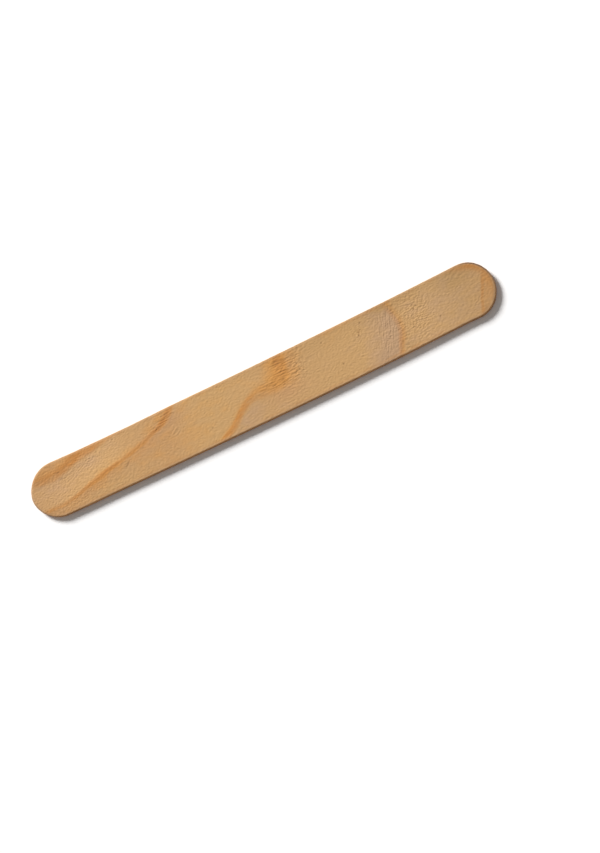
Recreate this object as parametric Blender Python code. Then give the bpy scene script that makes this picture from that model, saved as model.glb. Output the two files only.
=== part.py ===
"""Wooden tongue depressor: one flat blade of birch veneer with round ends and tumbled edges.

The blade lies on its flat underside. X runs along it, Y across it and Z up. The origin is under
the middle of its bounding box, at the height of the underside. All lengths are in metres.

It is made the way the real one is. The outline is punched out of flat veneer: two straight,
parallel sides between two half circles. The veneer then dries a little out of straight, which
gives the blade a slight crook in its own plane. Tumbling rounds its top and bottom edges.
"""

import math

import bmesh
import bpy

# Driving dimensions
LENGTH = 0.150  # tip to tip
WIDTH = 0.017  # across the parallel sides, and so the diameter of each round end
THICKNESS = 0.0016  # of the veneer
CROOK = 0.0008  # how far the two tips stand out of line with the middle, towards +Y
EDGE_ROUND = 0.0002  # radius of the tumbled top and bottom edges

# Fineness of the curved surfaces
END_FLATS = 40  # round each half circle
SIDE_FLATS = 20  # along each side, which the crook turns into a very large arc
EDGE_FLATS = 4  # in the quarter turn of each tumbled edge

SHARP_ANGLE = math.radians(30)  # anything sharper counts as an edge, both to round and to shade

# Finish: bare, unvarnished birch
BIRCH_COLOUR = (0.56, 0.32, 0.15, 1.0)  # linear light
BIRCH_ROUGHNESS = 0.7


def half_circle(centre_x, start_angle):
    """Points of a round end, a half turn anticlockwise from start_angle, both ends included."""
    radius = WIDTH / 2
    points = []
    for step in range(END_FLATS + 1):
        angle = start_angle + math.pi * step / END_FLATS
        points.append((centre_x + radius * math.cos(angle), radius * math.sin(angle)))
    return points


def side(from_x, to_x, y):
    """Points along a straight side, without its two end points, which the round ends hold."""
    steps = range(1, SIDE_FLATS)
    return [(from_x + (to_x - from_x) * step / SIDE_FLATS, y) for step in steps]


def punched_outline():
    """The straight blade's outline, anticlockwise from the start of the round end at +X."""
    end_x = LENGTH / 2 - WIDTH / 2
    return (
        half_circle(end_x, -math.pi / 2)
        + side(end_x, -end_x, WIDTH / 2)
        + half_circle(-end_x, math.pi / 2)
        + side(-end_x, end_x, -WIDTH / 2)
    )


def with_crook(x, y):
    """Where a point of the straight blade goes when its centre line bows into a parabola.

    The parabola rises by CROOK from the middle to each tip. The cross-section at x turns with
    it, so it stays square to the centre line and keeps its width.
    """
    half_length = LENGTH / 2
    rise = CROOK * (x / half_length) ** 2
    slope = 2 * CROOK * x / half_length**2
    return x - y * slope, y + rise


def blade_mesh():
    """The veneer: the outline's face, centred on the origin across, extruded to its thickness."""
    outline = [with_crook(x, y) for x, y in punched_outline()]
    middle_y = (max(y for _, y in outline) + min(y for _, y in outline)) / 2

    veneer = bmesh.new()
    underside = veneer.faces.new([veneer.verts.new((x, y - middle_y, 0)) for x, y in outline])
    extruded = bmesh.ops.extrude_face_region(veneer, geom=[underside], use_keep_orig=True)
    upper_verts = [item for item in extruded["geom"] if isinstance(item, bmesh.types.BMVert)]
    bmesh.ops.translate(veneer, verts=upper_verts, vec=(0, 0, THICKNESS))
    bmesh.ops.recalc_face_normals(veneer, faces=veneer.faces)

    mesh = bpy.data.meshes.new("tongue_depressor")
    veneer.to_mesh(mesh)
    veneer.free()
    mesh.shade_smooth()
    mesh.set_sharp_from_angle(angle=SHARP_ANGLE)
    return mesh


def tumble_edges(blade):
    """Rounds the blade's top and bottom edges, all the way round."""
    rounding = blade.modifiers.new("tumbled edges", "BEVEL")
    rounding.width = EDGE_ROUND
    rounding.segments = EDGE_FLATS
    rounding.limit_method = "ANGLE"
    rounding.angle_limit = SHARP_ANGLE


def birch():
    """Bare birch: a pale tan, dull and without metal."""
    material = bpy.data.materials.new("birch")
    material.diffuse_color = BIRCH_COLOUR
    material.use_nodes = True
    shader = material.node_tree.nodes["Principled BSDF"]
    shader.inputs["Base Color"].default_value = BIRCH_COLOUR
    shader.inputs["Roughness"].default_value = BIRCH_ROUGHNESS
    shader.inputs["Metallic"].default_value = 0.0
    return material


def main():
    for old in list(bpy.data.objects):
        bpy.data.objects.remove(old)

    blade = bpy.data.objects.new("tongue_depressor", blade_mesh())
    bpy.context.scene.collection.objects.link(blade)
    tumble_edges(blade)
    blade.data.materials.append(birch())


main()
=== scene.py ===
"""The looks of a wooden tongue depressor: its birch skin, and the studio that it is seen in.

The blade is one closed skin round the CAD blade's form. Its upper and lower faces are grids, its
tumbled edge is a profile carried round the outline, and the fibres, pores and torn spots of the
veneer are real relief in that skin. The wood's figure is a set of growth-ring bands. Each vertex
knows how far it is from every band, and the finish turns those distances into colour.

Lengths are in metres, except in the figure and the relief, which are in millimetres on the blade
before its crook: x along it from the middle and y across it.
"""

import dataclasses
import functools
import logging
import math
from dataclasses import dataclass
from enum import Enum
from typing import ClassVar

import bpy
import numpy as np
from mathutils import Matrix, Vector


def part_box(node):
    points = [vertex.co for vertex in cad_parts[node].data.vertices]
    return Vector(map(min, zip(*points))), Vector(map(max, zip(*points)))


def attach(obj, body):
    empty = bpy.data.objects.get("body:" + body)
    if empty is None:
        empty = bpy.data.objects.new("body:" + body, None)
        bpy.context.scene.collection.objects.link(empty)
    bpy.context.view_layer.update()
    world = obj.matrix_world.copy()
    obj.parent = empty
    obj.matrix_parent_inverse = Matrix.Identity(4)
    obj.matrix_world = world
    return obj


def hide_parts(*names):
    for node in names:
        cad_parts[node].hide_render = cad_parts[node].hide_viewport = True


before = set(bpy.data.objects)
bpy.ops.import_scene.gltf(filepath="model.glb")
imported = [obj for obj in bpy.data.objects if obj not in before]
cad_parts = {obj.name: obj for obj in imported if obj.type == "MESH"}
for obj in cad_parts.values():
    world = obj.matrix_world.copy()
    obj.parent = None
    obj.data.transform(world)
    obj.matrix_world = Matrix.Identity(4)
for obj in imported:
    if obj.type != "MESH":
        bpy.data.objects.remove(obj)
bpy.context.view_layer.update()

MM = 0.001
NODE = "tongue_depressor"
BODY = "root"
SEED = 100

log = logging.getLogger("tongue_depressor")

Array = np.ndarray
Rows = tuple[tuple[float, ...], ...]
Colour = tuple[float, float, float, float]
Ramp = tuple[float, ...]  # where a ramp starts and ends, then its results there if not 0 and 1


def paint(red: int, green: int, blue: int) -> Colour:
    """A colour that is named by its 0-255 sRGB values, as linear light with an alpha of 1."""
    levels = np.array([red, green, blue]) / 255
    return (*np.where(levels <= 0.04045, levels / 12.92, ((levels + 0.055) / 1.055) ** 2.4), 1.0)


def shown(name: str, data: bpy.types.ID) -> bpy.types.Object:
    """A new object of the scene that shows some data."""
    bpy.context.scene.collection.objects.link(item := bpy.data.objects.new(name, data))
    return item


def turned(x: Array, y: Array, turn: float) -> tuple[Array, Array]:
    """Coordinates along and across a direction that lies some degrees anticlockwise of X."""
    cosine, sine = math.cos(math.radians(turn)), math.sin(math.radians(turn))
    return x * cosine + y * sine, y * cosine - x * sine


class Side(Enum):
    """The two faces of the veneer."""

    UPPER = 1
    UNDER = -1


class Hand(Enum):
    """The two sides of a line, seen along it."""

    LEFT = 1
    RIGHT = -1


@dataclass(frozen=True)
class Patch:
    """A soft-edged oval on a face, with a bell-shaped strength."""

    x: float  # mm
    y: float  # mm
    reach_x: float  # mm to where the strength has fallen to 60%
    reach_y: float  # mm
    strength: float = 1.0
    turn: float = 0.0  # degrees, anticlockwise

    def at(self, x: Array, y: Array) -> Array:
        """The patch's strength at points: strength x exp(-(u^2 + v^2) / 2).

        Args:
            x: Places along the blade, in mm.
            y: Places across the blade, in mm.

        Returns:
            The strength at each.
        """
        u, v = turned(x - self.x, y - self.y, self.turn)
        u, v = u / self.reach_x, v / self.reach_y
        return self.strength * np.exp(-(u**2 + v**2) / 2)


def ovals(*rows: tuple[float, ...]) -> tuple[Patch, ...]:
    """Patches whose fields are the numbers of each row."""
    return tuple(Patch(*row) for row in rows)


def patchwork(patches: tuple[Patch, ...], x: Array, y: Array) -> Array:
    """The summed strength of several patches at points, x and y in mm."""
    return sum((patch.at(x, y) for patch in patches), np.zeros(x.shape))


def curve(path: Rows, pieces: int = 8) -> Array:
    """A smooth curve through points.

    Each stretch is a Catmull-Rom cubic: the tangent at a point is half the step from the point
    before it to the point after it. The first and last points are repeated.

    Args:
        path: The points.
        pieces: Short segments in each stretch.

    Returns:
        Rows like the path's.
    """
    points = np.array([path[0], *path, path[-1]], float)
    corners = (points[:-3], points[1:-2], points[2:-1], points[3:])
    before, start, end, after = (rows[:, None, :] for rows in corners)
    t = np.linspace(0, 1, pieces, endpoint=False)[None, :, None]
    stretch = 0.5 * (
        2 * start
        + (end - before) * t
        + (2 * before - 5 * start + 4 * end - after) * t**2
        + (3 * start - before - 3 * end + after) * t**3
    )
    return np.vstack([stretch.reshape(-1, points.shape[1]), points[-1]])


@dataclass(frozen=True)
class Fringe:
    """A change of tone beside a ring band, strongest at the band's centre line."""

    side: Hand
    reach: float  # mm to where the change has gone
    light: float
    warmth: float
    blush: float = 0.0
    start: float = 0.6  # mm over which it starts, half of them on the line's other side

    def at(self, distance: Array) -> Array:
        """How much of the change shows at points.

        It falls off with distance d as 1 - t^2 (3 - 2 t), where t = d / reach, and it starts in
        a short ramp across the line.

        Args:
            distance: Signed distances from the line, in mm, positive to its left.

        Returns:
            The share at each.
        """
        away = distance * self.side.value
        t = np.clip(away / self.reach, 0, 1)
        return (1 - t**2 * (3 - 2 * t)) * np.clip(0.5 + away / self.start, 0, 1)


@dataclass(frozen=True)
class RingBand:
    """A band of latewood, the dark end of one year's growth, with the wood beside it.

    Each point of its path holds x, y and the half width in mm, the strength of the band and the
    strength of its fringes.
    """

    name: str
    path: Rows
    left_soft: float  # half widths over which the left side fades
    right_soft: float  # half widths over which the right side fades
    amber: float = 0.0  # amber on the left of the band
    amber_reach: float = 3.0  # mm
    brown: float = 0.0  # share of dark brown within the band
    core: float = 0.6  # half widths over which the band is at its strongest
    fringes: tuple[Fringe, ...] = ()

    def measure(self, x: Array, y: Array) -> Array:
        """Where points lie from the band.

        The distance is to the nearest point of the nearest segment of the centre line, and is
        positive to the left of that segment. The rest is read there.

        Args:
            x: Places along the blade, in mm.
            y: Places across the blade, in mm.

        Returns:
            Rows of signed distance and half width in mm, strength, and strength of the fringes.
        """
        line = curve(self.path)
        nearest = np.full(x.shape, np.inf)
        found = np.zeros((x.size, 4))
        for begin, end in zip(line[:-1], line[1:]):
            along_x, along_y = end[:2] - begin[:2]
            squared = along_x**2 + along_y**2
            share = ((x - begin[0]) * along_x + (y - begin[1]) * along_y) / squared
            share = np.clip(share, 0, 1)
            off_x = x - begin[0] - share * along_x
            off_y = y - begin[1] - share * along_y
            distance = np.hypot(off_x, off_y)
            side = np.where(along_x * off_y - along_y * off_x >= 0, 1.0, -1.0)
            rest = begin[None, 2:] + share[:, None] * (end - begin)[None, 2:]
            here = np.column_stack([side * distance, rest])
            closer = distance < nearest
            nearest = np.where(closer, distance, nearest)
            found = np.where(closer[:, None], here, found)
        return found


@dataclass(frozen=True)
class Figure:
    """The wood's figure: its ring bands, its changes of tone, its pores and its checks.

    A tone is three numbers. Light is the share by which the wood gets lighter. Warmth is a step on
    a scale where -1 is a greyish pink, 0 is plain birch and 1 is amber. Blush is a share of red.
    """

    slant: float = 3.2  # how far along the blade the figure shifts for each unit of depth
    plain: Rows = (  # x in mm, light, warmth, blush
        (-76, -0.08, 0.1, 0.5), (-71, -0.055, 0.15, 0.4), (-66, -0.025, 0.1, 0.35),
        (-60, -0.015, 0.1, 0.25), (-50, -0.01, 0.1, 0.15), (-40, -0.02, 0.15, 0.35),
        (-30, -0.025, 0.15, 0.45), (-22, 0, 0.25, 0.15), (-16, 0.005, 0.15, 0),
        (-10, 0.005, 0.15, 0), (2, -0.01, 0, 0.2), (10, -0.01, 0, 0.25), (20, -0.005, -0.05, 0.05),
        (32, 0, -0.05, 0), (48, 0, -0.25, 0.1), (56, -0.005, -0.4, 0), (64, -0.045, -0.4, 0),
        (70, -0.06, -0.25, 0.2), (75, -0.07, 0, 0.5),
    )
    tones: Rows = (  # a patch's fields, then light, warmth and blush
        (-27.3, 5.4, 1.6, 1.3, 0, -0.7, 0), (-31.6, 4, 1.3, 1.2, 0, -0.5, 0),
        (20, 8.5, 14, 3, -0.035, 0.2, 0), (44, 8.5, 6, 2.5, -0.05, 0.3, 0),
        (53, 8.5, 6, 3, -0.03, 0.1, 0), (65, 6, 4, 2.6, -0.05, 0.25, 0),
        (60.5, 3, 1.4, 3, 0, -0.15, 0), (8.4, 4.3, 2.5, 4, -0.03, 0.9, 0.4),
        (5.2, 3.2, 1.6, 1.6, -0.01, 0.25, 0.1), (4, 0.7, 4, 1.4, -0.025, 0.45, 0),
        (12.5, 4, 2.2, 4, -0.015, 0.2, 0.3), (35.5, -1, 2.4, 7, 0, -0.28, 0),
        (42.4, 7.8, 2, 1.3, 0, 0.8, 0), (46.3, -6.6, 1.8, 2, -0.025, -0.1, 0),
        (0, 4, 4, 2, 0.02, 0, 0), (2, -7, 7, 2.4, 0, -0.3, 0), (8, -3, 4, 1.8, -0.015, 0, 0.5),
        # the small light spots at (9.4, 5.2), (14.2, 2.9) and (15.3, -4.3) are painted highlights
        (9.4, 4.7, 0.5, 0.25, -0.02, 0.8, 0), (9.4, 5.2, 0.3, 0.15, 0.1, 0.3, 0),
        (14.2, 2.9, 0.3, 0.16, 0.12, 0.1, 0), (15.3, -4.3, 0.35, 0.16, 0.12, 0.1, 0),
        (-30, -1.5, 6, 3, -0.01, 0.1, 0.1), (-35, 1.4, 4, 1.6, 1, 25, -0.01, 0, 0.4),
        (-26, 4.6, 3, 2.2, 1, 25, -0.02, 0, 0.45), (-60, 3.4, 5, 1.2, 1, 10, -0.035, -0.1, 0),
        (-70, 1, 3, 3, 0, -0.2, 0), (-53, 4.5, 5, 1.8, 1, 10, -0.015, -0.1, 0),
        (-46.5, 2.6, 1.6, 1.2, 1, 10, 0.01, 0.1, 0), (38.5, -6.6, 1.4, 1.2, -0.02, -0.3, 0),
    )
    rings: tuple[RingBand, ...] = (
        RingBand(
            name="ring_corner",
            path=(
                (-78, 4.8, 0.9, 0.3, 1), (-73.5, 4.6, 0.9, 0.4, 1), (-69, 4.1, 0.8, 0.65, 1),
                (-66.5, 4.2, 0.9, 0.6, 1), (-63, 4.9, 0.75, 0.72, 1), (-59, 6.6, 0.9, 1, 1),
                (-54, 7.3, 0.8, 0.85, 0.8), (-49, 8.1, 0.7, 0.6, 0.5), (-40, 9.4, 0.4, 0.3, 0.2),
            ),
            left_soft=1.6, right_soft=1.8,
            fringes=(
                Fringe(Hand.LEFT, 9, -0.075, 0.85, 0.4), Fringe(Hand.RIGHT, 3.4, -0.06, 0.05, 0.1),
            ),
        ),
        RingBand(
            name="ring_diagonal",
            path=(
                (-80, -6.4, 0.3, 0.2, 1), (-72, -5.3, 0.35, 0.3, 0.75),
                (-66.1, -5.15, 0.4, 0.35, 0.75), (-61.6, -4.4, 0.4, 0.4, 0.75),
                (-58.6, -3.5, 0.4, 0.55, 0.85), (-54.2, -2.3, 0.5, 0.75, 0.95),
                (-49.8, -1.2, 0.45, 0.75, 0.9), (-45.3, -0.25, 0.4, 0.45, 0.7),
                (-42.3, 0.35, 0.4, 0.45, 0.5), (-39.4, 1.2, 0.45, 0.5, 0.35),
                (-36.5, 2.1, 0.45, 0.4, 0.2), (-33.6, 3.15, 0.4, 0.55, 0.12),
                (-31.2, 4, 0.5, 0.8, 0.1), (-29.2, 5.1, 0.6, 0.9, 0.1),
                (-27.6, 6.5, 0.7, 0.85, 0.1), (-25.9, 8.3, 0.6, 0.7, 0), (-24.6, 10, 0.6, 0.7, 0),
            ),
            left_soft=1, right_soft=2, amber=0.85, amber_reach=4.5, brown=0.3,
            fringes=(
                Fringe(Hand.LEFT, 60, 0.075, -0.45), Fringe(Hand.RIGHT, 6, -0.04, 0.25, 0.6),
            ),
        ),
        RingBand(
            name="ring_middle",
            path=(
                (-17, -10.2, 0.5, 0.7, 1), (-13.6, -7.9, 0.55, 0.75, 1), (-10.6, -6.2, 0.6, 0.8, 1),
                (-8, -4.1, 0.6, 0.8, 1), (-5.6, -2, 0.6, 0.65, 1), (-3, -0.4, 0.7, 0.6, 0.9),
                (0.5, 0.35, 1, 0.45, 0.5), (4, 0.3, 1.2, 0.35, 0.15), (7, 1.4, 1.2, 0.3, 0),
                (8.6, 4, 1.05, 0.35, 0), (9, 6.5, 0.95, 0.55, 0), (9.1, 10, 0.95, 0.65, 0),
            ),
            left_soft=1.2, right_soft=1.9, amber=0.5, amber_reach=3,
            fringes=(Fringe(Hand.RIGHT, 11, -0.02, -0.55),),
        ),
        RingBand(
            name="ring_arc",
            path=(
                (42.8, 10.5, 0.7, 0.2, 1), (44.3, 7, 0.7, 0.27, 1), (45.3, 3.4, 0.65, 0.27, 1),
                (45.7, 0.2, 0.6, 0.33, 1), (45.1, -2.9, 0.55, 0.43, 1), (43.8, -5.6, 0.5, 0.42, 1),
                (42.6, -8.6, 0.5, 0.48, 1), (41.7, -10.5, 0.5, 0.48, 1),
            ),
            left_soft=2.2, right_soft=1.3, brown=0.2,
            fringes=(
                Fringe(Hand.LEFT, 3, -0.01, 0.05), Fringe(Hand.RIGHT, 12, -0.03, -0.9),
            ),
        ),
        RingBand(
            name="ring_nose",
            path=(
                (74.2, 6, 0.3, 0.4, 1), (73.1, 3.6, 0.3, 0.4, 1), (72, 1, 0.3, 0.5, 1),
                (70.7, -1.9, 0.25, 0.55, 1), (69.5, -4.4, 0.25, 0.45, 1), (68.2, -8.6, 0.3, 0.5, 1),
                (67.6, -10.5, 0.3, 0.5, 1),
            ),
            left_soft=1.5, right_soft=1.5,
            fringes=(Fringe(Hand.LEFT, 8, -0.025, 0.5, 0.3),),
        ),
    )
    glow: tuple[Patch, ...] = ovals(  # latewood that grazes the surface
        (68.6, 7, 2.6, 0.8, 0.6, -18), (72, 5.1, 2.4, 0.8, 0.6, -42),
        (73.6, 1.5, 0.8, 3.4, 0.3, -10), (-55.5, -3.9, 4.5, 0.9, 0.2, 13), (-67, 6.4, 5, 1.6, 0.12),
        (-68.3, 3.8, 1.3, 0.3, 0.3, -16), (-59, 6.7, 1.6, 0.6, 0.25, -5),
        (-51.8, 7.3, 1.2, 0.5, 0.3), (28, 8.1, 2.5, 0.4, 0.35), (39, 8.1, 3.5, 0.4, 0.3),
        (-64, -7.9, 6, 0.4, 0.25), (-48.5, -8.1, 1.2, 0.4, 0.3), (48, -8.1, 1.6, 0.4, 0.3),
        (20, -8.2, 3, 0.4, 0.2),
    )
    brown_hollow_patches: tuple[Patch, ...] = ovals(  # where the hollows between fibres are brown
        (8.8, 5.9, 1, 0.9, 0.3), (9.4, 2, 2.2, 3, 0.12), (5, 0.4, 2.6, 1.4, 0.2),
        (12.8, 5.4, 2, 1.6, 0.25), (13.6, 2, 1.8, 1.6, 0.25), (-30.5, 5.4, 2.2, 1, 0.3, 35),
        (45.3, -1, 0.9, 6, 0.35), (50.5, 0.8, 3.4, 4.6, 0.25), (34, 3.6, 1.4, 1.6, 0.25),
        (-64, 3.8, 3, 0.9, 0.3),
    )
    pores: Rows = (  # x and y in mm, and strength
        (-60, -4.2, 0.4), (-45.7, 6.8, 0.8), (-38, -5.8, 0.5), (-31.9, 3.6, 0.9), (-30.1, 4.5, 0.5),
        (-29.3, 6.6, 0.8), (-28.1, 6.7, 0.8), (-16, -3.4, 0.7), (-11.7, -1.7, 0.4), (12, 3.3, 0.5),
        (12.8, 0.6, 0.5), (13, 2.2, 0.4), (13.2, 1.4, 0.6), (13.6, 0.5, 0.6), (14, 3.3, 1.2),
        (14.2, 1.3, 1), (14.6, 0.6, 0.5), (15.2, 0.6, 0.5), (16.9, 3.2, 0.4), (22.9, 5.6, 1),
        (26.5, -3.1, 1.4), (26.6, 2.7, 0.35), (33.8, 2.6, 1.8), (34.1, 3.4, 0.6), (34.7, 3.9, 1),
        (35.4, 5.8, 1.1), (44.7, 4.2, 0.8), (45.2, -6.3, 0.6), (49.7, -2.7, 0.8), (50.1, -0.2, 1.1),
        (51.1, 2.4, 0.7), (52.1, 3, 0.9), (57.2, -3.2, 1.2), (58.7, 0.4, 0.4), (65.5, 6.2, 0.4),
    )
    checks: tuple[Patch, ...] = ovals(
        (-43.7, -2.4, 0.7, 0.14, 1, 38), (-47.6, -5.2, 1.6, 0.12, 0.25, 38),
        (-64.9, 4.35, 0.6, 0.14, 0.7), (-64.3, 2.1, 0.5, 0.14, 0.8, -10), (8.5, 6.5, 0.8, 0.13, 1),
        (8.7, 5.7, 1, 0.14, 1, -2), (9.4, 3, 0.8, 0.1, 0.7), (9.7, 2.25, 0.7, 0.11, 0.8, 2),
        (9.1, 1.4, 0.7, 0.1, 0.7, 3), (8.7, 0.65, 0.6, 0.11, 0.8, 4), (9, -0.2, 0.8, 0.1, 0.75, 6),
        (8.6, -0.85, 0.6, 0.1, 0.55, 6), (5.7, 0.1, 0.5, 0.11, 0.75), (5.5, 1.15, 0.5, 0.1, 0.6, 6),
        (3.4, 0.5, 0.5, 0.1, 0.5), (12.8, 7.1, 0.9, 0.1, 0.3), (11.7, 6.2, 0.6, 0.11, 0.35),
        (13.3, 5.6, 0.9, 0.1, 0.3), (11.9, 2.1, 0.6, 0.1, 0.3, 10),
    )

    def plain_tone(self, x: Array, y: Array) -> Array:
        """The tone of the wood between the ring bands.

        Args:
            x: Places along the blade, in mm.
            y: Places across the blade, in mm.

        Returns:
            Rows of light, warmth and blush, with a column for each point.
        """
        places, *stops = np.array(self.plain).T
        values = np.array([np.interp(x, places, stop) for stop in stops])
        for *oval, light, warmth, blush in self.tones:
            values += np.outer((light, warmth, blush), Patch(*oval).at(x, y))
        for ring in self.rings:
            distance, _, _, strength = ring.measure(x, y).T
            for fringe in ring.fringes:
                tone = (fringe.light, fringe.warmth, fringe.blush)
                values += np.outer(tone, strength * fringe.at(distance))
        return values


@dataclass(frozen=True)
class Sheet:
    """Values on a regular grid over the veneer, read between the grid's points."""

    values: Array  # rows along the blade and columns across it

    STEP: ClassVar[float] = 0.15  # mm
    HALF_LENGTH: ClassVar[float] = 82.0  # mm
    HALF_WIDTH: ClassVar[float] = 14.0  # mm
    LAST: ClassVar[float] = 1.001  # grid points from the end at which the reading stops

    @classmethod
    def shape(cls) -> tuple[int, int]:
        """How many grid points lie along and across the sheet."""
        return round(2 * cls.HALF_LENGTH / cls.STEP), round(2 * cls.HALF_WIDTH / cls.STEP)

    def at(self, x: Array, y: Array) -> Array:
        """The values at points, each a blend of the four grid points round it.

        Args:
            x: Places along the blade, in mm.
            y: Places across the blade, in mm.

        Returns:
            The value at each point.
        """
        rows, columns = self.values.shape
        u = np.clip((x + self.HALF_LENGTH) / self.STEP, 0, rows - self.LAST)
        v = np.clip((y + self.HALF_WIDTH) / self.STEP, 0, columns - self.LAST)
        row, column = u.astype(int), v.astype(int)
        u, v = u - row, v - column
        near = self.values[row, column] * (1 - v) + self.values[row, column + 1] * v
        ahead = self.values[row + 1, column] * (1 - v) + self.values[row + 1, column + 1] * v
        return near * (1 - u) + ahead * u


@dataclass(frozen=True)
class Ripples:
    """Smooth noise whose ripples share one width and are drawn out along one direction."""

    width: float  # mm from one ripple to the next
    stretch: float  # how many times longer than wide they are
    spread: float = 1.0  # standard deviation of the values
    turn: float = 0.0  # degrees from the blade's axis, anticlockwise
    patches: tuple[Patch, ...] = ()  # where they are, or everywhere
    steady: bool = False  # whether they run straight
    band: float = 0.3  # how far their widths differ, as a share of the width
    seed: int = 0

    @functools.cache
    def sheet(self, seed: int) -> Sheet:
        """The noise.

        White noise is passed through a band of its Fourier transform. A wave that turns k_a times
        per mm along the ripples and k_c times across them has f = width x sqrt((stretch k_a)^2 +
        k_c^2), and is kept by exp(-((f - 1) / band)^2).

        Args:
            seed: Added to the ripples' own seed.

        Returns:
            Noise with a mean of 0.
        """
        shape = Sheet.shape()
        white = np.random.default_rng(self.seed + seed).standard_normal(shape)
        waves_x = np.fft.fftfreq(shape[0], Sheet.STEP)[:, None]
        waves_y = np.fft.fftfreq(shape[1], Sheet.STEP)[None, :]
        along, across = turned(waves_x, waves_y, self.turn)
        waves = self.width * np.hypot(self.stretch * along, across)
        noise = np.fft.ifft2(np.fft.fft2(white) * np.exp(-(((waves - 1) / self.band) ** 2))).real
        noise -= noise.mean()
        return Sheet(self.spread * noise / noise.std())

    def at(self, x: Array, y: Array, seed: int) -> Array:
        """The noise at points, x and y in mm, kept to the ripples' patches."""
        values = self.sheet(seed).at(x, y)
        return values * np.clip(patchwork(self.patches, x, y), 0, 1) if self.patches else values


@dataclass
class Marks:
    """What the relief does at points of the skin."""

    depth: Array  # mm inwards from the CAD's surface
    height: Array  # mm above or below the mean surface
    pit: Array  # share of a pore or a check, 0 to 1


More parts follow.
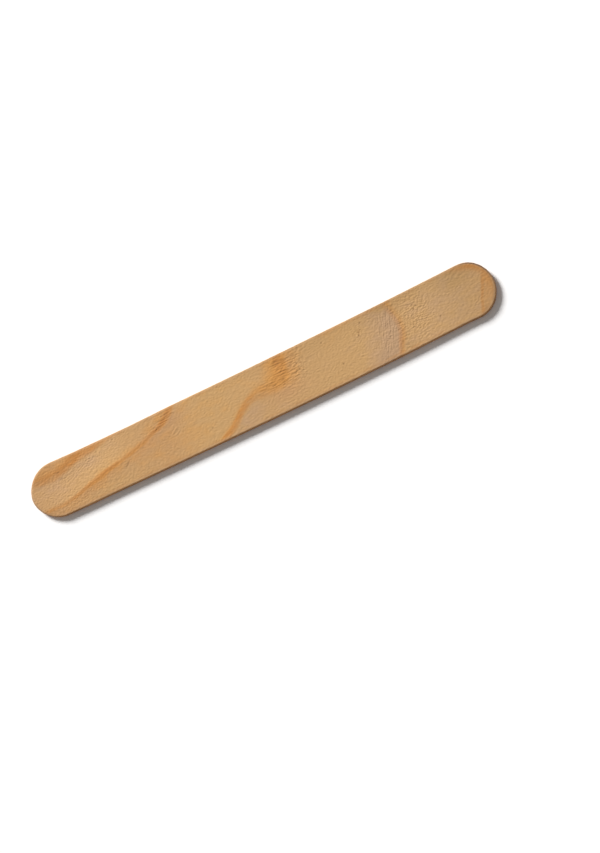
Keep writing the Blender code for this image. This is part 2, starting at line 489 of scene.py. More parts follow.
@dataclass(frozen=True)
class Relief:
    """The veneer's roughness, from its raised fibres down to its pores. Lengths are in mm."""

    layers: tuple[Ripples, ...] = (  # of the upper face: two all over it, then its rougher parts
        Ripples(width=0.95, stretch=1.2, spread=0.0105, turn=-3, seed=1),
        Ripples(width=1.3, stretch=1.4, spread=0.004, turn=-6, seed=2),
        Ripples(
            width=0.72, stretch=1.1, spread=0.02, turn=-8, seed=3,
            patches=ovals(
                (51, 1.4, 4.2, 5, 0.15), (-62.5, -0.3, 3.2, 1.8, 0.8), (-62, -6, 8, 1.6, 0.9),
                (-54.5, 3.8, 4, 1.8, 0.9), (-48.5, 1.6, 2.4, 1.4, 0.7), (33.5, 3, 2.2, 3.2, 0.6),
                (14, 1.8, 1.6, 2.2, 0.2), (-27, 3, 3, 1.8, 0.5),
            ),
        ),
        Ripples(
            width=0.7, stretch=5, spread=0.022, turn=2, band=0.14, steady=True, seed=4,
            patches=ovals(
                (10.8, 2.8, 3.8, 4, 0.6), (5, 0.3, 3, 1.3, 0.45), (12.8, 6, 2.6, 1.4, 0.6),
                (-30.5, 6.2, 2.6, 0.9, 0.7, 25), (-58, 6.4, 8, 1.2, 0.5), (45.6, -1, 0.8, 6, 0.6),
            ),
        ),
        Ripples(
            width=0.7, stretch=6, spread=0.016, turn=71, steady=True, seed=5,
            patches=ovals((41.4, -0.5, 1.6, 6, 1, -18)),
        ),
        Ripples(
            width=0.75, stretch=1.8, spread=0.009, seed=6,
            patches=ovals((42, -0.5, 2.6, 6, 1, -18)),
        ),
        Ripples(
            width=0.85, stretch=2.5, spread=0.014, turn=-20, seed=7,
            patches=ovals(
                (50, -3, 3.6, 2.4, 0.15), (-38.5, 0.9, 1.6, 1, 0.5), (10, -6.4, 4, 1.4, 0.5),
                (19, -7, 3, 1.2, 0.5), (32, -5, 3, 2.5, 0.5), (-62, 2.4, 3, 1.2, 0.5),
            ),
        ),
    )
    under: tuple[Ripples, ...] = (  # of the lower face
        Ripples(width=1.9, stretch=2.2, spread=0.012, turn=2, seed=11),
        Ripples(width=1.4, stretch=4, spread=0.006, turn=-2, seed=12),
    )
    rough: tuple[Patch, ...] = ovals(  # where the fibres stand up more, for the finish
        (51, 0.5, 3.8, 5.2, 3.4), (-66, -1, 6, 6, 0.8), (-54, 3.5, 6, 2.5, 0.8), (-60, -6, 9, 2, 1),
        (25, -5.5, 10, 2.5, 0.4), (41.5, 0, 3, 6, 0.5), (33.5, 3, 2.2, 3.2, 0.9),
        (14, 2.2, 1.7, 2.3, 2.6), (7, 2.5, 4, 4, 0.3), (-2, -5.5, 5, 2.5, -0.5),
    )
    rows: tuple[Patch, ...] = ovals(  # where strokes along the blade stand up
        (10.6, 2.6, 3.2, 4.2, 3.2), (4.8, 0.4, 2.4, 1.3, 2.2), (-30, 5.2, 3.4, 1.4, 4, 30),
        (45.6, -1, 1, 6, 1.5), (70.7, -1.5, 0.8, 5.5, 1.5, -18), (41, -2.5, 2, 4, 1),
        (-53, 3.5, 6, 2.5, 0.8), (-60, -6, 9, 2, 0.9),
    )
    ladder: tuple[Patch, ...] = ovals((41.3, 0, 2.2, 6.5, 2.6, -18))  # strokes across it
    sway: Ripples = Ripples(width=6.0, stretch=1.5, spread=0.45)  # how the others wander
    sway_seeds: tuple[int, int] = (30, 31)  # along the blade and across it
    proud: float = 0.045  # height that a fibre may rise to before it is worn flat
    wall_proud: float = 0.02
    pore_depth: float = 0.09
    pore_radius: float = 0.18
    check_depth: float = 0.07
    check_shade: float = 0.7  # how dark a check is beside a pore
    torn_edge: Ripples = Ripples(width=1.8, stretch=1.0, spread=0.012, seed=8)

    def face(self, x: Array, y: Array, side: Side, figure: Figure) -> Marks:
        """The relief of a face.

        Args:
            x: Places along the blade, in mm.
            y: Places across the blade, in mm.
            side: Which face it is.
            figure: The wood's figure, for its pores and checks.

        Returns:
            The marks at each point.
        """
        bent_x, bent_y = (p + self.sway.at(x, y, s) for p, s in zip((x, y), self.sway_seeds))
        height, pore, check = np.zeros((3, *x.shape))
        for layer in self.layers if side is Side.UPPER else self.under:
            height += layer.at(x, y, SEED) if layer.steady else layer.at(bent_x, bent_y, SEED)
        if side is Side.UPPER:
            for pore_x, pore_y, strength in figure.pores:
                away = (x - pore_x) ** 2 + (y - pore_y) ** 2
                pore += strength * np.exp(-away / self.pore_radius**2)
            check = np.clip(patchwork(figure.checks, x, y), 0, 1)
        depth = self.proud - np.minimum(height, self.proud)
        depth += self.pore_depth * pore + self.check_depth * check
        return Marks(depth, height, np.clip(pore + self.check_shade * check, 0, 1))

    def wall(self, along: Array, down: Array) -> Marks:
        """The relief of the punched wall, at places along the outline and down it, in mm."""
        height = self.torn_edge.at(along % Sheet.HALF_LENGTH, down, SEED)
        return Marks(self.wall_proud - np.minimum(height, self.wall_proud), height, 0 * height)


@dataclass
class Points:
    """Points of the skin, on the straight blade and before their relief."""

    place: Array  # rows of x, y and z
    normal: Array  # rows of the outward normal
    depth: Array  # how far inwards the relief goes
    height: Array  # of the relief, in mm
    pit: Array  # share of a pore, 0 to 1
    wall: Array  # 0 on a face, 1 on the punched wall

    @classmethod
    def joined(cls, parts: list["Points"]) -> "Points":
        """All the points of several parts, one part after the other."""
        names = [entry.name for entry in dataclasses.fields(cls)]
        return cls(*(np.concatenate([getattr(part, name) for part in parts]) for name in names))


@dataclass(frozen=True)
class Grid:
    """A grid of points over a face, numbered across it row after row."""

    columns: int  # steps along the face
    rows: int  # steps across it

    @property
    def coarser(self) -> "Grid":
        """The grid that leaves out every other point."""
        return Grid(self.columns // 2, self.rows // 2)

    @property
    def numbers(self) -> Array:
        """The points' numbers, with a row of them for each place along the face."""
        return np.arange((self.columns + 1) * (self.rows + 1)).reshape(self.columns + 1, -1)

    @property
    def rim(self) -> Array:
        """Numbers of the points round the face, anticlockwise from above."""
        n = self.numbers
        return np.concatenate([n[:-1, 0], n[-1, :-1], n[:0:-1, -1], n[0, :0:-1]])

    @property
    def quads(self) -> Array:
        """The grid's faces, anticlockwise from above, as rows of four numbers."""
        n = self.numbers
        return np.stack([n[:-1, :-1], n[1:, :-1], n[1:, 1:], n[:-1, 1:]], axis=-1).reshape(-1, 4)


@dataclass
class Blade:
    """The blade's skin: two faces, and the tumbled edge between them.

    The upper face is twice as finely divided as the lower one. Halfway down the wall, each pair
    of steps round the outline becomes one.
    """

    length: float
    width: float
    thickness: float
    middle: float  # y of the straight blade's axis, so that the crooked blade fills its box
    crook: float = 0.8 * MM  # how far the tips stand out of line with the middle
    edge_round: float = 0.2 * MM  # radius of the tumbled edges
    grid: Grid = Grid(600, 108)  # of the upper face
    round_steps: int = 4  # in the quarter turn of a tumbled edge
    wall_steps: int = 4  # down the punched wall
    far_side: Rows = (  # x, and how far the side stands out, in mm
        (-66, 0), (-58, -0.14), (-40, -0.14), (-26, 0.08), (20, 0.02), (48, -0.05), (62, -0.03),
        (69, 0),
    )
    near_side: Rows = (
        (-66, 0.03), (-59, 0.06), (-50, -0.04), (-20, -0.02), (0, 0.05), (25, 0.11), (46, 0.07),
        (56, -0.08), (64, -0.13), (69, 0),
    )
    rim: Rows = (  # degrees from +X, mm that it stands out, mm worn off its top, dark line of painted shade
        (0, 0.05, 0.05, 0.5), (30, 0.06, 0.06, 0.85), (60, 0.17, 0.09, 0.95),
        (90, 0, 0.11, 0.12),  # the far side
        (120, 0.08, 0.19, 0), (150, 0.06, 0.19, 0), (180, 0.13, 0.12, 0.25),
        (210, -0.1, 0.06, 0.55), (240, -0.2, 0.12, 0.1),
        (270, 0, 0.03, 0),  # the near side
        (300, 0.15, 0.03, 0.05), (330, 0.05, 0.03, 0.3), (360, 0.05, 0.05, 0.5),
    )
    worn_reach: float = 0.8  # mm in from the outline
    figure: Figure = Figure()
    relief: Relief = Relief()
    WIDTH_ROUNDS: ClassVar[int] = 4  # that settle the width

    @classmethod
    def on_cad(cls) -> "Blade":
        """A blade that fills the CAD node's box.

        The crook lifts each end's centre by crook x (1 - width / length)^2, so the box is that
        much wider than the blade.

        Returns:
            The blade.
        """
        low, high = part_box(NODE)
        length, across, thickness = high - low
        width = across
        for _ in range(cls.WIDTH_ROUNDS):
            width = across - cls.crook * (1 - width / length) ** 2
        return cls(length, width, thickness, middle=low.y + width / 2)

    @property
    def flat_radius(self) -> float:
        """Radius of a round end of the flat, inside the tumbled edge."""
        return self.width / 2 - self.edge_round

    @property
    def end_centre(self) -> float:
        """Distance from the blade's middle to the centre of a round end."""
        return (self.length - self.width) / 2

    def past(self, x: Array) -> Array:
        """How far places lie past the nearer end's centre, below 0 at the left end."""
        return np.sign(x) * np.clip(np.abs(x) - self.end_centre, 0, None)

    def flat(self, grid: Grid) -> Array:
        """The flat part of a face.

        Along the parallel sides it is a plain rectangular grid. Past each end centre, a half
        square is pressed into a half circle of radius r: with p from 0 to 1 outwards and v from -1
        to 1 across, x = r p sqrt(1 - v^2 / 2) and y = r v sqrt(1 - p^2 / 2).

        Args:
            grid: Its grid.

        Returns:
            Rows of x and y.
        """
        radius, centre = self.flat_radius, self.end_centre
        reach = np.linspace(-centre - radius, centre + radius, grid.columns + 1)[:, None]
        v = np.linspace(-1, 1, grid.rows + 1)[None, :]
        p = np.clip((np.abs(reach) - centre) / radius, 0, 1)
        straight = np.clip(reach, -centre, centre)
        x = straight + np.sign(reach) * radius * p * np.sqrt(1 - v**2 / 2)
        y = radius * v * np.sqrt(1 - p**2 / 2)
        return np.column_stack([x.ravel(), y.ravel()])

    def profile(self) -> tuple[Array, Array, Array]:
        """The tumbled edge's profile, from the upper flat to the lower one, both left out.

        A quarter circle turns the upper face down into the wall and another turns the wall under
        into the lower face: out = R sin(a), drop = R (1 - cos(a)), with the wall straight between.

        Returns:
            How far each point stands out from the flat, its height, and the angle of its outward
            normal below the upward one.
        """
        turn = np.linspace(0, math.pi / 2, self.round_steps + 1)[1:]
        down = np.linspace(0, 1, self.wall_steps + 1)[1:-1]
        wall_height = self.thickness - 2 * self.edge_round
        upper = self.thickness - self.edge_round * (1 - np.cos(turn))
        wall = self.thickness - self.edge_round - wall_height * down
        out = np.concatenate([np.sin(turn), np.ones(down.size), np.sin(turn[::-1])])
        height = np.concatenate([upper, wall, self.thickness - upper[::-1]])
        square = np.full(down.size, math.pi / 2)
        angle = np.concatenate([turn, square, math.pi - turn[::-1]])
        return out * self.edge_round, height, angle

    def face(self, side: Side, grid: Grid) -> Points:
        """The points of a face.

        Args:
            side: Which face it is.
            grid: Its grid.

        Returns:
            The points.
        """
        flat = self.flat(grid)
        count = len(flat)
        marks = self.relief.face(flat[:, 0] / MM, flat[:, 1] / MM, side, self.figure)
        height = self.thickness if side is Side.UPPER else 0.0
        place = np.column_stack([flat, np.full(count, height)])
        normal = np.tile([0.0, 0.0, float(side.value)], (count, 1))
        return Points(place, normal, marks.depth * MM, marks.height, marks.pit, np.zeros(count))

    def edge(self, outline: Array) -> list[Points]:
        """The points of the tumbled edge, one ring below the other.

        Args:
            outline: Rows of x and y round the flat.

        Returns:
            The points of each ring.
        """
        axis = np.zeros((len(outline), 3))
        axis[:, 0] = np.clip(outline[:, 0], -self.end_centre, self.end_centre)
        outward = np.column_stack([outline, np.zeros(len(outline))]) - axis
        outward /= self.flat_radius
        steps = np.linalg.norm(np.diff(outline, axis=0), axis=1)
        along = np.concatenate([[0.0], np.cumsum(steps)]) / MM
        rings = []
        for out, height, angle in zip(*self.profile()):
            place = axis + outward * (self.flat_radius + out)
            place[:, 2] = height
            normal = outward * math.sin(angle)
            normal[:, 2] = math.cos(angle)
            side = Side.UPPER if height > self.thickness / 2 else Side.UNDER
            face = self.relief.face(place[:, 0] / MM, place[:, 1] / MM, side, self.figure)
            wall = self.relief.wall(along, np.full(len(along), height / MM))
            share = math.sin(angle) ** 2
            rings.append(
                Points(
                    place,
                    normal,
                    (wall.depth * share + face.depth * (1 - share)) * MM,
                    wall.height * share + face.height * (1 - share),
                    face.pit * (1 - share),
                    np.full(len(along), share),
                )
            )
        return rings

    @staticmethod
    def band_faces(upper: Array, lower: Array) -> list[list[int]]:
        """The faces between two rings, facing outwards.

        Rings of equal length are joined by quads. Where the lower ring has half the points, each
        two steps of the upper ring and one of the lower are joined by three triangles.

        Args:
            upper: Vertex numbers round the upper ring.
            lower: Vertex numbers round the lower one.

        Returns:
            The faces' vertex numbers.
        """
        next_lower = np.roll(lower, -1)
        if len(upper) == len(lower):
            return np.column_stack([upper, lower, next_lower, np.roll(upper, -1)]).tolist()
        first, between = upper[::2], upper[1::2]
        last = np.roll(first, -1)
        return [
            *np.column_stack([first, lower, between]).tolist(),
            *np.column_stack([between, lower, next_lower]).tolist(),
            *np.column_stack([between, next_lower, last]).tolist(),
        ]

    def punch(self, points: Array) -> Array:
        """Carries points from the true outline to the one that the die cut.

        Each side stands out or in by its own table, in proportion to the distance from the axis.
        Past an end centre, at rho end radii from it, a point moves outwards by the rim's table x
        rho.

        Args:
            points: Rows of x, y and z.

        Returns:
            The moved rows.
        """
        x, y, z = points.T
        radius = self.width / 2
        share = y / radius
        sides = (np.array(side).T * MM for side in (self.far_side, self.near_side))
        out = np.where(y > 0, *(np.interp(x, places, outs) for places, outs in sides))
        swell = self.round_rim(points)[0] * MM
        moved_x = x + swell * self.past(x) / radius
        moved_y = y + out * np.abs(share) * np.sign(y) + swell * share
        return np.column_stack([moved_x, moved_y, z])

    def round_rim(self, points: Array) -> Array:
        """What the rim's table says in the direction of points from the nearer end's centre.

        Args:
            points: Rows of x, y and z.

        Returns:
            Rows of how far the rim stands out, its wear and its dark line of painted shade.
        """
        angle = np.degrees(np.arctan2(points[:, 1], self.past(points[:, 0]))) % 360
        degrees, *values = curve(self.rim).T
        return np.array([np.interp(angle, degrees, value) for value in values])

    def wear(self, points: Array) -> Array:
        """Carries points from the tumbled blade to the one that handling has worn.

        At a distance b in from the outline the upper face sinks by worn x (1 - b / reach)^2, and
        what lies under it sinks in proportion to its height.

        Args:
            points: Rows of x, y and z.

        Returns:
            The moved rows.
        """
        x, y, z = points.T
        worn = self.round_rim(points)[1] * MM
        sunk = worn * np.clip(1 - self.border(points) / self.worn_reach, 0, 1) ** 2
        return np.column_stack([x, y, z - sunk * z / self.thickness])

    def bend(self, points: Array) -> Array:
        """Carries points of the straight blade onto its crooked centre line.

        The centre line is a parabola that rises by the crook from the middle to each tip, and a
        cross-section turns by the parabola's slope: x' = x - y slope and y' = y + rise.

        Args:
            points: Rows of x, y and z.

        Returns:
            The moved rows.
        """
        half = self.length / 2
        x, y, z = points.T
        slope = 2 * self.crook * x / half**2
        rise = self.crook * (x / half) ** 2
        return np.column_stack([x - y * slope, y + rise + self.middle, z])

    def skin(self) -> bpy.types.Object:
        """The finished mesh, with the attributes that its finish reads.

        Returns:
            The object, at the origin and unturned.
        """
        upper = self.face(Side.UPPER, self.grid)
        under = self.face(Side.UNDER, self.grid.coarser)
        edge = self.edge(upper.place[self.grid.rim, :2])
        halfway = len(edge) // 2
        for ring in edge[halfway:]:
            for entry in dataclasses.fields(ring):
                setattr(ring, entry.name, getattr(ring, entry.name)[::2])
        points = Points.joined([upper, under, *edge])

        first_under = len(upper.depth)
        numbers = first_under + len(under.depth) + np.arange(sum(len(r.depth) for r in edge))
        loops = np.split(numbers, np.cumsum([len(ring.depth) for ring in edge])[:-1])
        loops = [self.grid.rim, *loops, first_under + self.grid.coarser.rim]
        faces = self.grid.quads.tolist()
        faces += (first_under + self.grid.coarser.quads[:, ::-1]).tolist()
        for above, below in zip(loops[:-1], loops[1:]):
            faces += self.band_faces(above, below)

        mesh = bpy.data.meshes.new("birch_blade")
        places = self.wear(points.place - points.normal * points.depth[:, None])
        places = self.bend(self.punch(places))
        mesh.from_pydata(places, [], faces)
        mesh.shade_smooth()
        self.store(mesh, points)
        return shown("birch_blade", mesh)

    def store(self, mesh: bpy.types.Mesh, points: Points) -> None:
        """Writes what the finish reads onto the mesh's vertices.

        The figure goes through the veneer on a slant, so below the upper face it is read further
        along.

        Args:
            mesh: The skin.
            points: Its points.
        """
        depth = self.thickness - points.place[:, 2]
        x = (points.place[:, 0] + self.figure.slant * depth) / MM
        y = points.place[:, 1] / MM
        for ring in self.figure.rings:
            attribute = mesh.attributes.new(ring.name, "FLOAT_VECTOR", "POINT")
            values = ring.measure(x, y)[:, :3].astype(np.float32)
            attribute.data.foreach_set("vector", values.ravel())
        light, warmth, blush = self.figure.plain_tone(x, y)
        shares = {
            "light": light,
            "warmth": warmth,
            "blush": blush,
            "rough": 1.0 + patchwork(self.relief.rough, x, y),
            "rows": patchwork(self.relief.rows, x, y),
            "ladder": patchwork(self.relief.ladder, x, y),
            "glow": patchwork(self.figure.glow, x, y),
            "brown_hollows": patchwork(self.figure.brown_hollow_patches, x, y),
            "height": points.height,
            "pit": points.pit,
            "wall": points.wall,
            "border": self.border(points.place),
            "end": self.end_share(points.place),
            # the rim's dark line of painted shade
            "line": self.round_rim(points.place)[2],
        }
        for name, values in shares.items():
            attribute = mesh.attributes.new(name, "FLOAT", "POINT")
            attribute.data.foreach_set("value", values.astype(np.float32))

    def end_share(self, place: Array) -> Array:
        """0 along the parallel sides, growing to 1 at the right tip and -1 at the left one."""
        return np.clip(self.past(place[:, 0]) / (self.width / 2), -1, 1)

    def border(self, place: Array) -> Array:
        """How far points lie in from the outline, in mm."""
        return (self.width / 2 - np.hypot(self.past(place[:, 0]), place[:, 1])) / MM


Socket = bpy.types.NodeSocket
Input = Socket | float


class Grain(Enum):
    """The finish's noises: size in mm along the grains and across them, octaves and turn.

    The turn is in degrees from the blade's axis to the grains, anticlockwise.
    """

    CLOUD = (4.0, 2.2, 2.0, 0.0)  # drifts of warmth
    BORDER = (4.0, 4.0, 2.0, 0.0)  # where the face's border is darker
    STREAK = (7.0, 0.28, 2.0, 0.0)  # along the punched wall
    WOOD = (6.0, 0.3, 3.0, 0.0)  # fine light and dark grain
    FEATHER = (2.4, 0.45, 3.0, 0.0)  # what frays a ring band's sides
    WANDER = (5.0, 4.0, 2.0, 0.0)  # what bends them
    MOTTLE = (3.0, 1.2, 3.0, 0.0)  # how strong a band is along it
    FIBRE = (0.6, 0.46, 0.0, 0.0)
    ROW = (2.2, 0.46, 0.0, 0.0)  # strokes along the blade
    LADDER = (2.2, 0.4, 0.0, 71.0)  # strokes across it


class Graph:
    """A short way to write a material's or a world's nodes."""

    def __init__(self, tree: bpy.types.NodeTree) -> None:
        """Starts from an empty tree."""
        self.tree = tree
        tree.nodes.clear()

    def node(
        self, kind: str, inputs: dict[str | int, object] | None = None, **settings: object
    ) -> bpy.types.Node:
        """Adds a node.

        Args:
            kind: The node's type name.
            inputs: Sockets to link or values to set, by the input's name or number.
            **settings: Properties of the node.

        Returns:
            The node.
        """
        node = self.tree.nodes.new(kind)
        for name, value in settings.items():
            setattr(node, name, value)
        for key, value in (inputs or {}).items():
            if isinstance(value, Socket):
                self.tree.links.new(value, node.inputs[key])
            else:
                node.inputs[key].default_value = value
        return node

    def math(self, operation: str, first: Input, second: Input = 0.0) -> Socket:
        """One step of arithmetic, by Blender's name for it."""
        return self.node("ShaderNodeMath", {0: first, 1: second}, operation=operation).outputs[0]

    add = functools.partialmethod(math, "ADD")
    times = functools.partialmethod(math, "MULTIPLY")
    most = functools.partialmethod(math, "MAXIMUM")  # the larger of two numbers

    def ramp(
        self, value: Input, start: Input, end: Input, low: float = 0.0, high: float = 1.0
    ) -> Socket:
        """Goes smoothly from low, where value is start, to high, where it is end."""
        inputs = {"Value": value, "From Min": start, "From Max": end, "To Min": low, "To Max": high}
        return self.node("ShaderNodeMapRange", inputs, interpolation_type="SMOOTHSTEP").outputs[0]

    def noise(self, grain: Grain) -> Socket:
        """Noise about 0 at the object's own coordinates, mostly within -0.3 and 0.3.

        Args:
            grain: Which noise it is.

        Returns:
            The noise.
        """
        along, across, detail, turn = grain.value
        place = self.node("ShaderNodeTexCoord").outputs["Object"]
        scale = (along * MM, across * MM, across * MM)
        inputs = {"Vector": place, "Rotation": (0.0, 0.0, math.radians(turn)), "Scale": scale}
        scaled = self.node("ShaderNodeMapping", inputs, vector_type="TEXTURE").outputs[0]
        inputs = {"Vector": scaled, "Scale": 1.0, "Detail": detail}
        noise = self.node("ShaderNodeTexNoise", inputs).outputs["Fac"]
        return self.math("SUBTRACT", noise, 0.5)

    def blend(self, share: Input, under: object, over: object, kind: str = "MIX") -> Socket:
        """Lays the second colour over the first, as strongly as the share says."""
        inputs = {0: share, 6: under, 7: over}
        return self.node("ShaderNodeMix", inputs, data_type="RGBA", blend_type=kind).outputs[2]

    def shade(self, colour: object, level: Socket) -> Socket:
        """Multiplies a colour by a number."""
        grey = self.node("ShaderNodeCombineColor", {0: level, 1: level, 2: level}).outputs[0]
        return self.blend(1.0, colour, grey, "MULTIPLY")

    def attribute(self, name: str, output: str = "Fac") -> Socket:
        """A value that the mesh stores for each vertex."""
        return self.node("ShaderNodeAttribute", attribute_name=name).outputs[output]


@dataclass(frozen=True)
class BirchFinish:
    """Bare birch veneer. Its ramps read mm in from the outline, mm of height, noise or shares."""

    grey: Colour = paint(188, 152, 115)  # plain wood at a warmth of -1
    plain: Colour = paint(193, 153, 102)  # at 0
    amber: Colour = paint(208, 152, 80)  # at 1
    late: Colour = paint(192, 130, 66)  # latewood
    brown: Colour = paint(140, 88, 44)  # the darkest latewood, and the hollows in some patches
    pore: Colour = paint(100, 66, 38)
    punched: Colour = paint(200, 145, 98)  # the burnished wall
    rim: Colour = paint(172, 122, 70)  # the border of a face
    pale_fuzz_and_highlight: Colour = paint(198, 162, 124)  # paler tumbled fibres along the outline, which also paint the lit edge's highlight
    painted_rim_shade: Colour = paint(122, 94, 70)  # painted shade: the dark line where the tumbled edge turns from the lamp, strongest round the tips
    blush: Colour = (1.035, 0.965, 1.035, 1.0)  # what a full blush multiplies the wood by
    roughness: float = 0.75
    specular: float = 0.2
    bump: float = 0.42
    bump_height: float = 0.1 * MM
    gamma: float = 2.2  # from the figure's light, as the eye sees it, to linear light
    cloud: float = 0.9  # warmth for each unit of its noise
    fray: float = 0.5  # mm for each unit of the noises that move a ring band's sides
    mottle: Ramp = (-0.25, 0.2, 0.7, 1.2)  # by noise
    rim_in: Ramp = (1.4, 0.8, 0.0, 0.5)  # by mm in from the outline
    rim_out: Ramp = (0.1, 0.6)
    rim_noise: Ramp = (-0.15, 0.2)
    rim_end: Ramp = (0.0, -1.0, 1.0, 0.2)  # by the share of an end
    hollow: Ramp = (-0.005, -0.045)  # by mm of height
    pore_share: float = 0.7
    wall_share: float = 0.85
    streak: Ramp = (-0.2, 0.2, 0.8, 1.15)  # by noise
    fuzz_and_highlight_in: Ramp = (0.95, 0.4, 0.0, 0.35)  # by mm in from the outline
    fuzz_and_highlight_wall: Ramp = (0.3, 1.0, 1.0, 0.0)  # by the share of the wall
    line_in: Ramp = (0.65, 0.3)
    line_wall: Ramp = (0.1, 0.9, 1.0, 0.0)
    grain: Ramp = (-0.2, 0.2, 0.97, 1.03)  # by noise
    raised: Ramp = (-0.04, 0.04, 0.96, 1.05)  # painted shade in the hollows and painted highlight on the ridges, by mm of height

    def material(self, figure: Figure) -> bpy.types.Material:
        """The whole material.

        Args:
            figure: The figure whose distances the mesh stores.

        Returns:
            The material.
        """
        material = bpy.data.materials.new("birch")
        material.use_nodes = True
        graph = Graph(material.node_tree)
        shader = graph.node(
            "ShaderNodeBsdfPrincipled",
            {
                "Base Color": self.colour(graph, figure),
                "Roughness": self.roughness,
                "Specular IOR Level": self.specular,
                "Normal": self.fibres(graph),
            },
        )
        graph.node("ShaderNodeOutputMaterial", {"Surface": shader.outputs[0]})
        return material

    def colour(self, graph: Graph, figure: Figure) -> Socket:
        """The wood's colour, from its plain tone up to its pores, its wall and its border.

        Args:
            graph: Where the nodes go.
            figure: The figure whose distances the mesh stores.

        Returns:
            The colour.
        """
        stored, blend, times, ramp = graph.attribute, graph.blend, graph.times, graph.ramp
        late, dark, amber = self.rings(graph, figure)
        cloud = times(graph.noise(Grain.CLOUD), self.cloud)
        warmth = graph.add(graph.add(stored("warmth"), amber), cloud)
        colour = blend(ramp(warmth, -1.0, 0.0), self.grey, self.plain)
        colour = blend(ramp(warmth, 0.0, 1.0), colour, self.amber)
        colour = blend(stored("blush"), colour, self.blush, "MULTIPLY")

        border, wall, height = stored("border"), stored("wall"), stored("height")
        edge = times(ramp(border, *self.rim_in), ramp(border, *self.rim_out))
        edge = times(edge, ramp(stored("end"), *self.rim_end))
        edge = times(edge, ramp(graph.noise(Grain.BORDER), *self.rim_noise))
        colour = blend(edge, colour, self.rim)
        colour = blend(graph.most(late, stored("glow")), colour, self.late)
        dark = graph.most(dark, times(ramp(height, *self.hollow), stored("brown_hollows")))
        colour = blend(dark, colour, self.brown)
        colour = blend(times(stored("pit"), self.pore_share), colour, self.pore)
        streak = ramp(graph.noise(Grain.STREAK), *self.streak)
        colour = blend(times(wall, self.wall_share), colour, graph.shade(self.punched, streak))

        # paler fibres along the outline, partly a painted highlight of the edge
        pale_fuzz_and_highlight = times(ramp(border, *self.fuzz_and_highlight_in), ramp(wall, *self.fuzz_and_highlight_wall))
        colour = blend(pale_fuzz_and_highlight, colour, self.pale_fuzz_and_highlight)
        # painted shade: a dark line just in from the outline, as strong as the rim's table says
        line = times(ramp(border, *self.line_in), ramp(wall, *self.line_wall))
        colour = blend(times(stored("line"), line), colour, self.painted_rim_shade)

        colour = graph.shade(colour, ramp(graph.noise(Grain.WOOD), *self.grain))
        light = graph.math("POWER", graph.add(stored("light"), 1.0), self.gamma)
        # the plain tone's light, and painted shade and highlight of the relief by its height
        return graph.shade(colour, times(ramp(height, *self.raised), light))

    def rings(self, graph: Graph, figure: Figure) -> tuple[Socket, Socket, Socket]:
        """How strongly each kind of ring wood shows.

        Args:
            graph: Where the nodes go.
            figure: The figure whose distances the mesh stores.

        Returns:
            Shares of latewood and of dark brown, and the amber's warmth.
        """
        times, ramp = graph.times, graph.ramp
        feather, wander = (graph.noise(grain) for grain in (Grain.FEATHER, Grain.WANDER))
        shift = graph.add(times(feather, self.fray), times(wander, self.fray))
        mottle = ramp(graph.noise(Grain.MOTTLE), *self.mottle)
        late = dark = amber = 0.0
        for ring in figure.rings:
            stored = graph.attribute(ring.name, "Vector")
            parts = graph.node("ShaderNodeSeparateXYZ", {0: stored}).outputs
            distance, half_width, strength = parts
            distance = graph.add(distance, shift)
            across = graph.math("DIVIDE", distance, half_width)
            left = ramp(across, ring.core, 1 + ring.left_soft, 1.0, 0.0)
            right = ramp(across, -ring.core, -1 - ring.right_soft, 1.0, 0.0)
            here = times(times(left, right), times(strength, mottle))
            late = graph.most(late, here)
            if ring.brown:
                core = ramp(graph.math("ABSOLUTE", across), 1.0, 0.0, 0.0, ring.brown)
                dark = graph.most(dark, times(here, core))
            if ring.amber:
                fade = ramp(distance, 0.0, ring.amber_reach, ring.amber, 0.0)
                amber = graph.add(amber, times(times(fade, right), strength))
        return late, dark, amber

    def fibres(self, graph: Graph) -> Socket:
        """The fibres too fine for the mesh.

        Args:
            graph: Where the nodes go.

        Returns:
            The bumped normal.
        """
        grains = {"rough": Grain.FIBRE, "rows": Grain.ROW, "ladder": Grain.LADDER}
        parts = (graph.times(graph.noise(g), graph.attribute(name)) for name, g in grains.items())
        height = functools.reduce(graph.add, parts)
        inputs = {"Strength": self.bump, "Distance": self.bump_height, "Height": height}
        return graph.node("ShaderNodeBump", inputs).outputs[0]


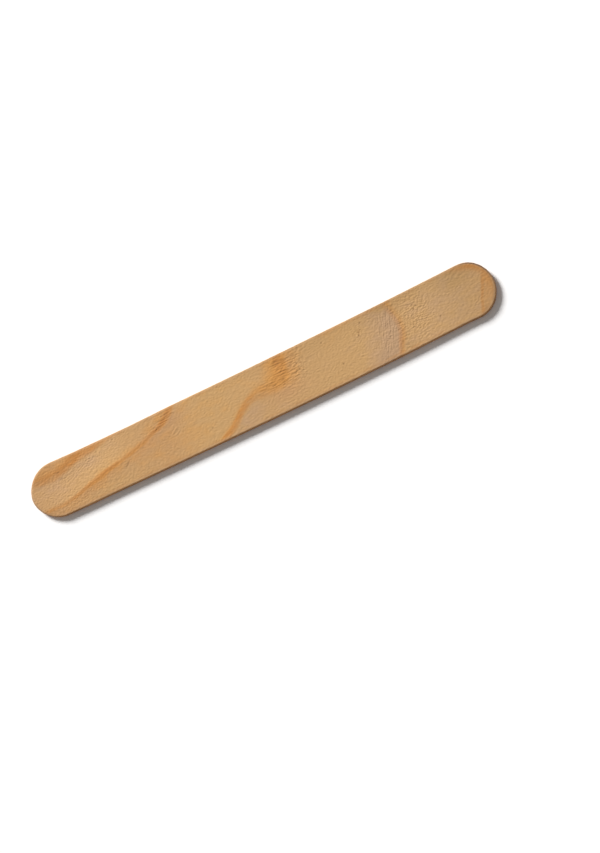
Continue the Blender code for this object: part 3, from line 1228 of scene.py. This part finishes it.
@dataclass(frozen=True)
class Studio:
    """A white table under one soft lamp, seen from a steep angle."""

    lens: float = 70.0  # mm, on a sensor 36 mm long
    distance: float = 0.474884
    aim: tuple[float, float, float] = (0.007551, -0.014118, 0.0)
    azimuth: float = 299.985  # degrees from +X, anticlockwise, to where the camera stands
    elevation: float = 70.478  # degrees
    roll: float = -54.008  # degrees
    clip_start: float = 0.01
    lamp_azimuth: float = 117.3  # degrees
    lamp_elevation: float = 28.4
    lamp_width: float = 21.0  # degrees across, as seen from the table
    key: float = 0.79  # share of the light that falls on the table from the lamp
    fill: Colour = (0.234, 0.221, 0.212, 1.0)  # share from everywhere else
    table_size: float = 3.0
    table_gap: float = 0.01 * MM
    table_bounce: Colour = paint(232, 232, 232)
    white: float = 1.03  # level of the table in the picture

    @staticmethod
    def direction(azimuth: float, elevation: float) -> Vector:
        """The unit vector towards a point of the sky.

        Args:
            azimuth: Degrees from +X, anticlockwise.
            elevation: Degrees above the table.

        Returns:
            The vector.
        """
        turn, rise = math.radians(azimuth), math.radians(elevation)
        level = math.cos(rise)
        return Vector((math.cos(turn) * level, math.sin(turn) * level, math.sin(rise)))

    @staticmethod
    def seen(graph: Graph) -> Socket:
        """Which rays show the surroundings: those of the camera, of gloss and through glass.

        Args:
            graph: Where the nodes go.

        Returns:
            1 for those rays and 0 for the others.
        """
        path = graph.node("ShaderNodeLightPath").outputs
        direct = graph.most(path["Is Camera Ray"], path["Is Glossy Ray"])
        return graph.most(direct, path["Is Transmission Ray"])

    def camera(self) -> None:
        """Adds the camera, turned about its own line of sight by the roll."""
        back = self.direction(self.azimuth, self.elevation)
        turn = math.radians(self.azimuth)
        right = Vector((-math.sin(turn), math.cos(turn), 0.0))
        up = back.cross(right)
        spin = Matrix.Rotation(math.radians(self.roll), 3, back)
        data = bpy.data.cameras.new("camera")
        data.lens = self.lens
        data.clip_start = self.clip_start
        camera = shown("camera", data)
        axes = Matrix((spin @ right, spin @ up, back)).transposed().to_4x4()
        place = Matrix.Translation(Vector(self.aim) + back * self.distance)
        camera.matrix_world = place @ axes
        bpy.context.scene.camera = camera

    def lamp(self) -> None:
        """Adds the soft key light, as a sun of the lamp's apparent width.

        A sun of strength pi lights a surface that faces it to the surface's own colour. The table
        is turned from it by its elevation.
        """
        data = bpy.data.lights.new("key", "SUN")
        data.energy = math.pi * self.key / math.sin(math.radians(self.lamp_elevation))
        data.angle = math.radians(self.lamp_width)
        lamp = shown("key", data)
        towards = self.direction(self.lamp_azimuth, self.lamp_elevation)
        lamp.rotation_euler = towards.to_track_quat("Z", "Y").to_euler()

    def surroundings(self) -> None:
        """Sets the fill light, which the camera sees as white."""
        world = bpy.data.worlds.new("surroundings")
        world.use_nodes = True
        graph = Graph(world.node_tree)
        colour = graph.blend(self.seen(graph), self.fill, (1.0, 1.0, 1.0, 1.0))
        background = graph.node("ShaderNodeBackground", {"Color": colour, "Strength": 1.0})
        graph.node("ShaderNodeOutputWorld", {"Surface": background.outputs[0]})
        bpy.context.scene.world = world

    def table(self) -> None:
        """Adds the white table top, which keeps the blade's shadow."""
        half = self.table_size / 2
        corners = np.array([[-half, -half], [half, -half], [half, half], [-half, half]])
        points = np.column_stack([corners, np.full(4, -self.table_gap)])
        mesh = bpy.data.meshes.new("table")
        mesh.from_pydata(points, [], [[0, 1, 2, 3]])
        material = bpy.data.materials.new("table_white")
        material.use_nodes = True
        graph = Graph(material.node_tree)
        white = (self.white, self.white, self.white, 1.0)
        colour = graph.blend(self.seen(graph), self.table_bounce, white)
        shader = graph.node("ShaderNodeBsdfDiffuse", {"Color": colour})
        graph.node("ShaderNodeOutputMaterial", {"Surface": shader.outputs[0]})
        mesh.materials.append(material)
        table = shown("table", mesh)

    def build(self) -> None:
        """Sets up the table, the lamp, the surroundings, the camera and the plain colour view."""
        self.table()
        self.lamp()
        self.surroundings()
        self.camera()
        bpy.context.scene.view_settings.view_transform = "Standard"


def main() -> None:
    """Builds the blade and the studio round it."""
    logging.basicConfig(level=logging.INFO, format="%(name)s: %(message)s")
    blade = Blade.on_cad()
    sizes = (blade.length / MM, blade.width / MM, blade.thickness / MM)
    log.info("blade is %.1f x %.1f x %.1f mm", *sizes)
    skin = blade.skin()
    skin.data.materials.append(BirchFinish().material(blade.figure))
    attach(skin, BODY)
    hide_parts(NODE)
    log.info("skin has %d vertices and %d faces", len(skin.data.vertices), len(skin.data.polygons))
    Studio().build()
    log.info("studio is set")


if __name__ == "__main__":
    main()
